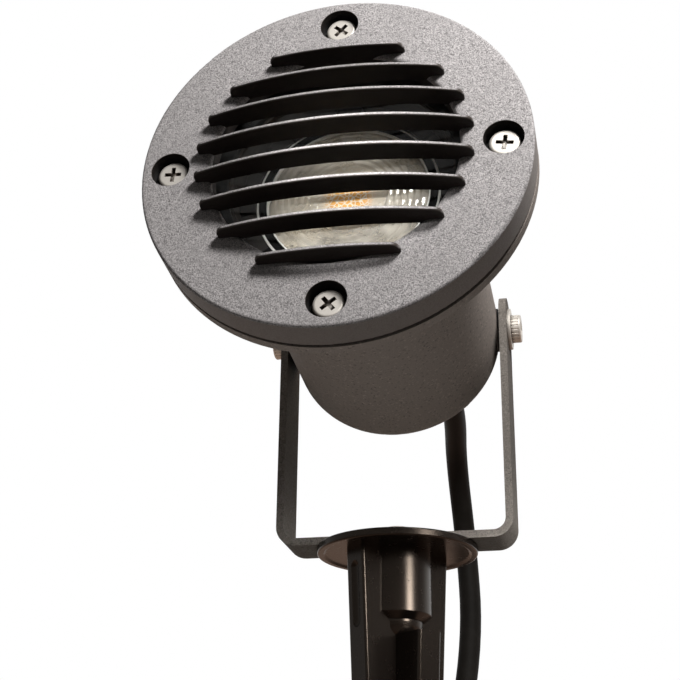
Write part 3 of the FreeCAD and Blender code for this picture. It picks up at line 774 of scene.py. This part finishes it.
@dataclass(frozen=True)
class Reflector(Finish):
    """Silvery dish with shallow facets inside a polished rim, whose dark colour and white lines are painted
    reflection and highlight.

    Attributes:
        name: the material's name.
        rim_radius: radius in millimetres where the polished rim begins.
        inner_line: radius in millimetres up to which the rim carries a painted highlight.
        outer_line: radius in millimetres from which it does so again.
        bright: colour of the dish.
        cloudy: colour of the dish's duller patches.
        rim_painted_highlight: colour of the painted highlight lines on the rim.
        rim_painted_dark_reflection: painted dark reflection on the rim between them.
    """

    name: str
    rim_radius: float = 21.6
    inner_line: float = 22.2
    outer_line: float = 24.3
    bright: Colour = (0.98, 0.94, 0.86)
    cloudy: Colour = (0.8, 0.76, 0.68)
    rim_painted_highlight: Colour = (0.97, 0.96, 0.93)
    rim_painted_dark_reflection: Colour = (0.04, 0.04, 0.04)

    def make(self, r: MaterialRecipe) -> bpy.types.Material:
        """Facet the dish, and paint highlight lines and a dark reflection on its rim.

        Args:
            r: the recipe being filled in.

        Returns:
            The material.
        """
        radius = r.distance_from_axis(FACE_CENTRE, FORWARD)
        rim = radius.step((self.rim_radius - 0.1) * MM, (self.rim_radius + 0.1) * MM)
        facets = r.cells(2.6, Cell.SOFT_CENTRES)
        outer = radius.step((self.outer_line - 0.1) * MM, (self.outer_line + 0.1) * MM)
        inner = 1.0 - radius.step((self.inner_line - 0.1) * MM, (self.inner_line + 0.1) * MM)
        # Painted highlight lines at the rim's edges; between them the rim is painted as a dark reflection.
        line = outer.largest(inner) * rim
        rim_tone = r.blend(line, self.rim_painted_dark_reflection, self.rim_painted_highlight)
        dish = r.blend(r.noise(4.0, 2.0).step(0.3, 0.7), self.bright, self.cloudy)
        return r.finish(
            Base_Color=r.blend(rim, dish, rim_tone),
            Metallic=rim - line,
            Roughness=0.26 + r.noise(1.0, 2.0) * 0.1 - rim * 0.15,
            Normal=r.bump(facets * (1.0 - rim), 0.45, 0.6),
        )


STEEL = TurnedSteel("stainless_fasteners")
SEAL_RUBBER = PlainMoulding("seal_rubber", (0.008, 0.008, 0.008), 0.6)
BLACK_NYLON = PlainMoulding("black_nylon", (0.012, 0.011, 0.011), 0.42)
WHITE_CERAMIC = PlainMoulding("white_ceramic", (0.75, 0.73, 0.67), 0.45)
WHITE_SLEEVE = PlainMoulding("core_sleeve", (0.6, 0.59, 0.55), 0.45)
BRIGHT_PINS = PlainMoulding("bright_pins", (0.7, 0.62, 0.45), 0.25, metal=1.0)


# --- Mesh helpers -------------------------------------------------------------


def dress(obj: bpy.types.Object, finish: Finish) -> None:
    """Give an object one finish in its only slot.

    Args:
        obj: the object.
        finish: its finish.
    """
    obj.data.materials.clear()
    obj.data.materials.append(finish.material())
    LOG.info("dressed %s with %s", obj.name, finish.name)


def dress_nodes(finish: Finish, *names: str) -> None:
    """Give CAD nodes one finish."""
    for name in names:
        dress(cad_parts[name], finish)


def add_object(name: str, data: Union[bpy.types.Mesh, bpy.types.Curve]) -> bpy.types.Object:
    """Put a mesh or a curve into the scene.

    Args:
        name: the object's name.
        data: the mesh or curve.

    Returns:
        The object.
    """
    obj = bpy.data.objects.new(name, data)
    bpy.context.scene.collection.objects.link(obj)
    return obj


def head_place() -> Matrix:
    """Turns millimetres of the head (across, depth, height) into metres of the object's frame."""
    turn = Matrix((Vector((1.0, 0.0, 0.0)), -FORWARD, UPWARD)).transposed()
    return Matrix.Translation(FACE_CENTRE) @ turn.to_4x4() @ Matrix.Scale(MM, 4)


class Workpiece:
    """A mesh being shaped in millimetres of the head, with depth along Y."""

    def __init__(self, name: str) -> None:
        """Start an empty mesh of that name."""
        self.name = name
        self.shape = bmesh.new()

    def turn(self, profile: Sequence[tuple[float, float]], steps: int) -> None:
        """Spin an outline round the axis into a closed body.

        Args:
            profile: radius and depth of its corners, of which the first and last lie on the axis.
            steps: faces round the axis.
        """
        corners = [self.shape.verts.new((radius, depth, 0.0)) for radius, depth in profile]
        edges = [self.shape.edges.new(pair) for pair in zip(corners, corners[1:])]
        bmesh.ops.spin(
            self.shape,
            geom=corners + edges,
            axis=(0.0, 1.0, 0.0),
            cent=(0.0, 0.0, 0.0),
            angle=2.0 * pi,
            steps=steps,
            use_merge=True,
        )
        bmesh.ops.remove_doubles(self.shape, verts=self.shape.verts[:], dist=0.0005)
        bmesh.ops.recalc_face_normals(self.shape, faces=self.shape.faces[:])

    def soften(self, width: float, angle: float) -> None:
        """Bevel the sharp edges.

        Args:
            width: width of the bevel in millimetres.
            angle: degrees by which an edge has to turn to count as sharp.
        """
        sharp = [e for e in self.shape.edges if e.is_manifold and e.calc_face_angle() > radians(angle)]
        bmesh.ops.bevel(
            self.shape,
            geom=sharp,
            offset=width,
            segments=2,
            profile=0.5,
            affect="EDGES",
            material=-1,
            clamp_overlap=True,
        )

    def place(self, finish: Finish, body: str, *nodes: str) -> bpy.types.Object:
        """Put the piece on the head in place of CAD nodes.

        Args:
            finish: its finish.
            body: the body it rides on.
            nodes: the CAD nodes it stands in for.

        Returns:
            The object.
        """
        mesh = bpy.data.meshes.new(self.name)
        self.shape.to_mesh(mesh)
        self.shape.free()
        mesh.transform(head_place())
        for polygon in mesh.polygons:
            polygon.use_smooth = True
        mesh.set_sharp_from_angle(angle=SHARP_FROM)
        obj = add_object(self.name, mesh)
        dress(obj, finish)
        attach(obj, body)
        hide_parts(*nodes)
        LOG.info("built %s: %d faces", self.name, len(mesh.polygons))
        return obj


# --- Head ---------------------------------------------------------------------


@dataclass(frozen=True)
class LouvredFace:
    """Face casting with its louvres, screws, seals and front glass."""

    # The louvres' sides, the rim and the bores carry painted shade.
    coat: Finish = PowderCoat(
        "speckled_grey_coat", (0.41, 0.385, 0.38), 0.75, gloss=0.6, painted_hollow_share=0.07, bore_circle=43.3
    )
    glass: Finish = ClearPane("front_glass", (0.985, 0.985, 0.975), density=1.3)

    def build(self) -> None:
        """Dress the nodes of the face."""
        dress_nodes(self.coat, "face_grille")
        dress_nodes(self.glass, "front_glass")
        dress_nodes(SEAL_RUBBER, "face_gasket", "glass_gasket")
        dress_nodes(STEEL, "face_screws")


@dataclass(frozen=True)
class LampInsert:
    """Reflector lamp behind the louvres.

    Attributes:
        rim_depth: millimetres from the face to the lamp's rim.
        lens_gap: millimetres from the rim back to the front of the lens.
        lens_radius: radius of the lens inside the polished rim.
        lens_thickness: thickness of the lens.
        ring_pitch: distance between the lens's moulded rings.
        ring_height: height of those rings.
        ring_form: outline of one ring, as shares of the pitch outwards and of the height back.
        core_radius: radius of the pebbled middle.
        lens: finish of the lens.
        dish: finish of the reflector.
        phosphor: finish of the light-emitting disc.
        ring: finish of the ring that centres the lamp.
    """

    rim_depth: float = 18.5
    lens_gap: float = 0.25
    lens_radius: float = 21.6
    lens_thickness: float = 2.1
    ring_pitch: float = 1.8
    ring_height: float = 0.5
    ring_form: tuple = ((0.3, 0.0), (0.75, 0.7), (1.0, 1.0))
    core_radius: float = 10.4
    lens: Finish = PebbledLens("lamp_lens", (0.99, 0.97, 0.93), gloss=0.07)
    dish: Finish = Reflector("silver_dish")
    phosphor: Finish = Phosphor("amber_phosphor")
    ring: Finish = PlainMoulding("pressed_ring", (0.035, 0.031, 0.029), 0.4, metal=0.2)

    def lens_profile(self) -> list[tuple[float, float]]:
        """Outline of the lens from the axis in front to the axis behind.

        Returns:
            Radius and depth of its corners, in millimetres.
        """
        front = self.rim_depth + self.lens_gap
        outline = [(0.0, front + self.ring_height), (self.core_radius, front + self.ring_height)]
        radius = self.core_radius
        while radius + self.ring_pitch < self.lens_radius:
            for outwards, back in self.ring_form:
                outline.append((radius + self.ring_pitch * outwards, front + self.ring_height * back))
            radius += self.ring_pitch
        outline.append((self.lens_radius, front + self.ring_height))
        outline.append((self.lens_radius, front + self.lens_thickness))
        outline.append((0.0, front + self.lens_thickness))
        return outline

    def build(self) -> None:
        """Make the ringed lens and dress the rest of the lamp."""
        lens = Workpiece("ringed_lens")
        lens.turn(self.lens_profile(), steps=120)
        lens.soften(width=0.12, angle=20.0)
        lens.place(self.lens, HEAD_BODY, "lamp_lens")
        dress_nodes(self.dish, "lamp_body")
        dress_nodes(self.phosphor, "lamp_emitter")
        dress_nodes(self.ring, "lamp_ring")
        dress_nodes(WHITE_CERAMIC, "lamp_base")
        dress_nodes(BRIGHT_PINS, "lamp_pins")


@dataclass(frozen=True)
class LampHolder:
    """Holder behind the lamp with its clip, leads and crimped joints."""

    spring: Finish = PlainMoulding("spring_steel", (0.5, 0.5, 0.49), 0.3, metal=1.0)
    crimp: Finish = PlainMoulding("crimp_sleeve", (0.45, 0.03, 0.025), 0.4)

    def build(self) -> None:
        """Dress the nodes of the holder."""
        dress_nodes(WHITE_CERAMIC, "lamp_holder")
        dress_nodes(self.spring, "holder_clip")
        dress_nodes(self.crimp, "crimp_joints")
        dress_nodes(WHITE_SLEEVE, "holder_leads", "cord_cores")


@dataclass(frozen=True)
class Can:
    """Housing with its cord gland."""

    # The inside behind the face carries painted shade.
    coat: Finish = PowderCoat("charcoal_coat", (0.48, 0.415, 0.37), 0.16, relief=0.035, painted_inside_radius=30.6)

    def build(self) -> None:
        """Dress the nodes of the can."""
        dress_nodes(self.coat, "housing")
        dress_nodes(BLACK_NYLON, "gland_body", "gland_dome_nut", "gland_lock_nut")
        dress_nodes(SEAL_RUBBER, "gland_seal")


# --- Yoke and spike -----------------------------------------------------------


@dataclass(frozen=True)
class Yoke:
    """U-shaped strap with the fasteners that it turns on."""

    coat: Finish = PowderCoat("strap_coat", (0.25, 0.225, 0.20), 0.35, relief=0.04, shine=0.03)

    def build(self) -> None:
        """Dress the strap and its fasteners."""
        dress_nodes(self.coat, "yoke")
        dress_nodes(STEEL, "side_screws", "side_washers", "base_bolt", "base_washer")
        dress_nodes(BLACK_NYLON, "side_spacers")


@dataclass(frozen=True)
class GroundSpike:
    """Disc, boss and crossed fins in one moulding, with its brass insert."""

    moulding: Finish = GlossMoulding("black_gloss_moulding")
    brass: Finish = PlainMoulding("turned_brass", (0.62, 0.43, 0.18), 0.3, metal=1.0)

    def build(self) -> None:
        """Dress the moulding and its insert."""
        dress_nodes(self.moulding, "ground_spike")
        dress_nodes(self.brass, "threaded_insert")


# --- Supply cord --------------------------------------------------------------


@dataclass(frozen=True)
class SupplyCord:
    """Rubber cord from the gland to the connector, with its spare length in a tied coil.

    Attributes:
        diameter: across the jacket, in millimetres.
        hanging: route from the gland to the floor, in millimetres.
        coil_centre: centre of the coil on the floor, in millimetres.
        coil_radius: radius at the middle of its turns.
        coil_pitch: distance between turns.
        layer: height from the lower to the upper layer.
        layer_turns: turns in one layer.
        floor: height of the floor.
        clearance: gap between the coil and the floor.
        trailing: route from the coil to the connector.
        points_per_turn: control points in one turn of the coil.
        climb_turns: turns over which the cord climbs to the upper layer.
        softness: how roundly the spiral turns from inwards to outwards, in turns squared.
        jacket: finish of the cord.
        tape: finish of the coil's tie.
    """

    diameter: float = 7.4
    hanging: tuple = (
        (12.0, 32.57, 60.91),
        (12.0, 46.46, 59.18),
        (7.5, 80.0, 55.0),
        (8.4, 97.0, 28.0),
        (10.8, 89.5, -6.0),
        (5.5, 82.5, -43.0),
        (16.0, 92.0, -84.0),
        (32.0, 112.0, -122.0),
        (45.0, 134.0, -158.0),
        (46.51, 109.98, -200.2),
    )
    coil_centre: tuple = (0.0, 62.0)
    coil_radius: float = 40.0
    coil_pitch: float = 8.3
    layer: float = 8.0
    layer_turns: float = 1.5
    floor: float = -205.0
    clearance: float = 1.1
    trailing: tuple = (
        (45.57, 46.01, -192.2),
        (46.1, 28.01, -197.0),
        (46.51, 14.02, -197.0),
    )
    points_per_turn: int = 16
    climb_turns: float = 0.5
    softness: float = 0.02
    jacket: Finish = CordRubber("cord_jacket")
    tape: Finish = PlainMoulding("hook_tape", (0.02, 0.02, 0.02), 0.85, relief=0.2)

    def coil_point(self, turns: float) -> Vector:
        """A point of the coil: in along the floor, up where it reverses, then out on top.

        Args:
            turns: turns from the coil's start.

        Returns:
            The point, in millimetres.
        """
        least = self.coil_radius - self.coil_pitch * self.layer_turns / 2
        away = turns - self.layer_turns
        radius = least + self.coil_pitch * (sqrt(away * away + self.softness) - sqrt(self.softness))
        angle = -2 * pi * turns
        climb = min(1.0, max(0.0, away + self.climb_turns / 2) / self.climb_turns)
        ease = climb * climb * (3 - 2 * climb)
        height = self.floor + self.clearance + self.diameter / 2 + self.layer * ease
        across, along = self.coil_centre
        return Vector((across + radius * cos(angle), along + radius * sin(angle), height))

    def route(self) -> list[Vector]:
        """Join the hanging stretch, the coil and the trailing end.

        Returns:
            All control points, in metres.
        """
        points = [Vector(p) for p in self.hanging]
        steps = int(2 * self.layer_turns * self.points_per_turn)
        points += [self.coil_point(k / self.points_per_turn) for k in range(steps + 1)]
        points += [Vector(p) for p in self.trailing]
        return [p * MM for p in points]

    def curve(self, bevel: float) -> bpy.types.Object:
        """Draw one open NURBS curve through the route.

        Args:
            bevel: radius of its round section in metres, 0 for a bare line.

        Returns:
            The curve's object.
        """
        data = bpy.data.curves.new("supply_cord_line", "CURVE")
        data.dimensions = "3D"
        data.resolution_u = 6
        data.bevel_depth = bevel
        data.bevel_resolution = 6
        data.use_fill_caps = bevel > 0.0
        spline = data.splines.new("NURBS")
        points = self.route()
        spline.points.add(len(points) - 1)
        for target, point in zip(spline.points, points):
            target.co = (*point, 1.0)
        spline.order_u = 3
        spline.use_endpoint_u = True
        return add_object("supply_cord_line", data)

    def build(self) -> bpy.types.Object:
        """Returns:
            The cord's object.
        """
        line = self.curve(0.0)
        tube = self.curve(self.diameter / 2 * MM)
        bpy.context.view_layer.update()
        graph = bpy.context.evaluated_depsgraph_get()
        centre_mesh = bpy.data.meshes.new_from_object(line.evaluated_get(graph))
        mesh = bpy.data.meshes.new_from_object(tube.evaluated_get(graph))
        bpy.data.objects.remove(line)
        bpy.data.objects.remove(tube)
        cord = add_object("supply_cord", mesh)
        for polygon in mesh.polygons:
            polygon.use_smooth = True
        dress(cord, self.jacket)
        dress_nodes(self.jacket, "cord_tail")
        dress_nodes(self.tape, "coil_tie")
        dress_nodes(BLACK_NYLON, "plug_body", "plug_ring")
        dress_nodes(BRIGHT_PINS, "plug_pins")
        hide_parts("cord_upper", "cord_lower", "cord_coil", "cord_end")
        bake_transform(cord)
        return cord


# --- Studio -------------------------------------------------------------------


@dataclass(frozen=True)
class StudioLamp:
    """One lamp that looks at a target: a soft box, or a spot where it has a cone.

    Attributes:
        name: its name.
        at: its place in metres.
        target: what it looks at.
        size: its width and height in metres.
        power: in watts.
        cone: opening angle of a spot's cone in degrees, 0 for a soft box.
        spread: opening angle of a soft box's beam in degrees.
        glint: whether shiny surfaces mirror it.
    """

    name: str
    at: tuple
    target: tuple
    size: tuple
    power: float
    cone: float = 0.0
    spread: float = 180.0
    glint: bool = True

    def build(self) -> bpy.types.Object:
        """Add the lamp to the scene.

        Returns:
            The lamp's object.
        """
        data = bpy.data.lights.new(self.name, "SPOT" if self.cone > 0.0 else "AREA")
        if self.cone > 0.0:
            data.spot_size = radians(self.cone)
            data.spot_blend = 0.6
            data.shadow_soft_size = self.size[0] / 2
        else:
            data.shape = "RECTANGLE"
            data.size, data.size_y = self.size
            data.spread = radians(self.spread)
        data.energy = self.power
        lamp = bpy.data.objects.new(self.name, data)
        bpy.context.scene.collection.objects.link(lamp)
        lamp.location = self.at
        lamp.visible_glossy = self.glint
        away = Vector(self.at) - Vector(self.target)
        lamp.rotation_mode = "QUATERNION"
        lamp.rotation_quaternion = away.to_track_quat("Z", "Y")
        return lamp


@dataclass(frozen=True)
class Studio:
    """Floor, light, background and camera.

    Attributes:
        floor_height: height of the floor in metres.
        floor_reach: half the floor's width in metres.
        camera_at: the camera's place in metres.
        yaw: degrees the view is turned from +Y towards -X.
        pitch: degrees it looks up.
        roll: degrees it leans.
        focal: its focal length in millimetres.
        sensor: width of its sensor in millimetres.
        lit_grey: the floor where it lights the object.
        seen_white: the floor where it is seen.
        seen_glow: how strongly it shines by itself there.
        shine_tint: the floor as shiny surfaces mirror it.
        shine_glow: how strongly they mirror it.
        sky_tint: colour of the dim light from all round.
        sky_glow: strength of that light.
        lamps: the lamps.
    """

    floor_height: float = -0.2052
    floor_reach: float = 4.0
    camera_at: tuple = (0.0686, -0.3983, -0.1040)
    yaw: float = 12.25
    pitch: float = 23.07
    roll: float = 0.694
    focal: float = 75.04
    sensor: float = 36.0
    lit_grey: Colour = (0.42, 0.41, 0.40)
    seen_white: Colour = (0.86, 0.86, 0.86)
    seen_glow: float = 0.35
    shine_tint: Colour = (1.0, 0.68, 0.52)
    shine_glow: float = 0.42
    sky_tint: Colour = (1.0, 0.98, 0.96)
    sky_glow: float = 0.045
    lamps: tuple = (
        StudioLamp("key_lamp", (0.15, -0.26, 0.26), (0.0, -0.08, 0.07), (0.08, 0.08), 1.08),
        StudioLamp("back_lamp", (-0.30, 0.62, 0.42), (0.0, 0.0, 0.0), (0.30, 0.30), 2.6, glint=False),
        StudioLamp("low_lamp", (0.125, -0.10, 0.016), (0.0, 0.0, -0.018), (0.12, 0.03), 0.013, spread=27.0),
        StudioLamp(
            "lens_lamp",
            (0.08, -0.64, 0.25),
            (0.001, -0.073, 0.064),
            (0.02, 0.02),
            21.0,
            cone=4.4,
            glint=False,
        ),
    )

    def build(self) -> None:
        """Make everything that is not part of the spotlight."""
        self.make_floor()
        self.make_world()
        for lamp in self.lamps:
            lamp.build()
        self.make_camera()
        bpy.context.scene.view_settings.view_transform = "Standard"

    def make_floor(self) -> None:
        """Pale floor: white where it is seen, grey where it lights the object, warm in shine."""
        shape = bmesh.new()
        bmesh.ops.create_grid(shape, x_segments=1, y_segments=1, size=self.floor_reach)
        mesh = bpy.data.meshes.new("studio_floor")
        shape.to_mesh(mesh)
        shape.free()
        mesh.transform(Matrix.Translation((0.0, 0.0, self.floor_height)))
        floor = add_object("studio_floor", mesh)
        r = MaterialRecipe("pale_floor")
        behind = r.part_of(r.place(), "Y").step(-0.25, 0.05)
        seen = self.seen_directly(r, behind)
        grey = r.node("ShaderNodeBsdfDiffuse", None, {"Color": self.lit_grey})
        pale = r.node("ShaderNodeBsdfDiffuse", None, {"Color": self.seen_white})
        glow = r.node("ShaderNodeEmission", None, {"Color": (1.0, 1.0, 1.0), "Strength": self.seen_glow})
        white = r.node("ShaderNodeAddShader", None, {0: pale, 1: glow})
        warm = r.node("ShaderNodeEmission", None, {"Color": self.shine_tint, "Strength": self.shine_glow})
        shine = r.node("ShaderNodeLightPath", output="Is Glossy Ray")
        shown = r.node("ShaderNodeMixShader", None, {0: shine, 1: white, 2: warm})
        mesh.materials.append(r.show(r.node("ShaderNodeMixShader", None, {0: seen, 1: grey, 2: shown})))

    @staticmethod
    def seen_directly(r: Recipe, behind: Link) -> Link:
        """How much of the white background a ray shows.

        Args:
            r: the tree the nodes go into.
            behind: 1 behind the object, 0 on the side the picture is taken from.

        Returns:
            1 for rays from the camera and through glass; in shine, dimmer on the camera's side.
        """
        camera = r.node("ShaderNodeLightPath", output="Is Camera Ray")
        shine = r.node("ShaderNodeLightPath", output="Is Glossy Ray")
        through = r.node("ShaderNodeLightPath", output="Is Transmission Ray")
        return camera.largest(through).largest(shine * (behind * 0.7 + 0.3))

    def make_world(self) -> None:
        """White behind the object, dim where it only lights it."""
        world = bpy.data.worlds.new("studio_world")
        bpy.context.scene.world = world
        world.use_nodes = True
        world.node_tree.nodes.clear()
        r = Recipe(world.node_tree)
        dim = r.node("ShaderNodeBackground", None, {"Color": self.sky_tint, "Strength": self.sky_glow})
        white = r.node("ShaderNodeBackground", None, {"Color": (1.0, 1.0, 1.0), "Strength": 1.0})
        behind = r.part_of(r.node("ShaderNodeTexCoord", output="Generated"), "Y").step(0.1, 0.7)
        seen = self.seen_directly(r, behind)
        output = r.tree.nodes.new("ShaderNodeOutputWorld")
        r.feed(output.inputs["Surface"], r.node("ShaderNodeMixShader", None, {0: seen, 1: dim, 2: white}))

    def make_camera(self) -> None:
        """Camera at the photograph's place and angle."""
        yaw, pitch, roll = radians(self.yaw), radians(self.pitch), radians(self.roll)
        ahead = Vector((-sin(yaw) * cos(pitch), cos(yaw) * cos(pitch), sin(pitch)))
        level = Vector((cos(yaw), sin(yaw), 0.0))
        above = level.cross(ahead)
        right = level * cos(roll) + above * sin(roll)
        up = above * cos(roll) - level * sin(roll)
        data = bpy.data.cameras.new("camera")
        data.sensor_width = self.sensor
        data.lens = self.focal
        data.clip_start = 0.01
        data.clip_end = 50.0
        camera = bpy.data.objects.new("camera", data)
        bpy.context.scene.collection.objects.link(camera)
        turn = Matrix((right, up, -ahead)).transposed()
        camera.matrix_world = Matrix.Translation(self.camera_at) @ turn.to_4x4()
        bpy.context.scene.camera = camera


# --- Spotlight ----------------------------------------------------------------


@dataclass(frozen=True)
class Spotlight:
    """All sub-assemblies of the spotlight."""

    face: LouvredFace = LouvredFace()
    lamp: LampInsert = LampInsert()
    holder: LampHolder = LampHolder()
    can: Can = Can()
    yoke: Yoke = Yoke()
    spike: GroundSpike = GroundSpike()
    cord: SupplyCord = SupplyCord()

    def build(self) -> None:
        """Build and dress every sub-assembly."""
        for part in (self.face, self.lamp, self.holder, self.can, self.yoke, self.spike, self.cord):
            part.build()


def main() -> None:
    """Build the spotlight's looks and the studio round it."""
    logging.basicConfig(level=logging.INFO, format="%(name)s: %(message)s")
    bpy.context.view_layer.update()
    Studio().build()
    Spotlight().build()


if __name__ == "__main__":
    main()
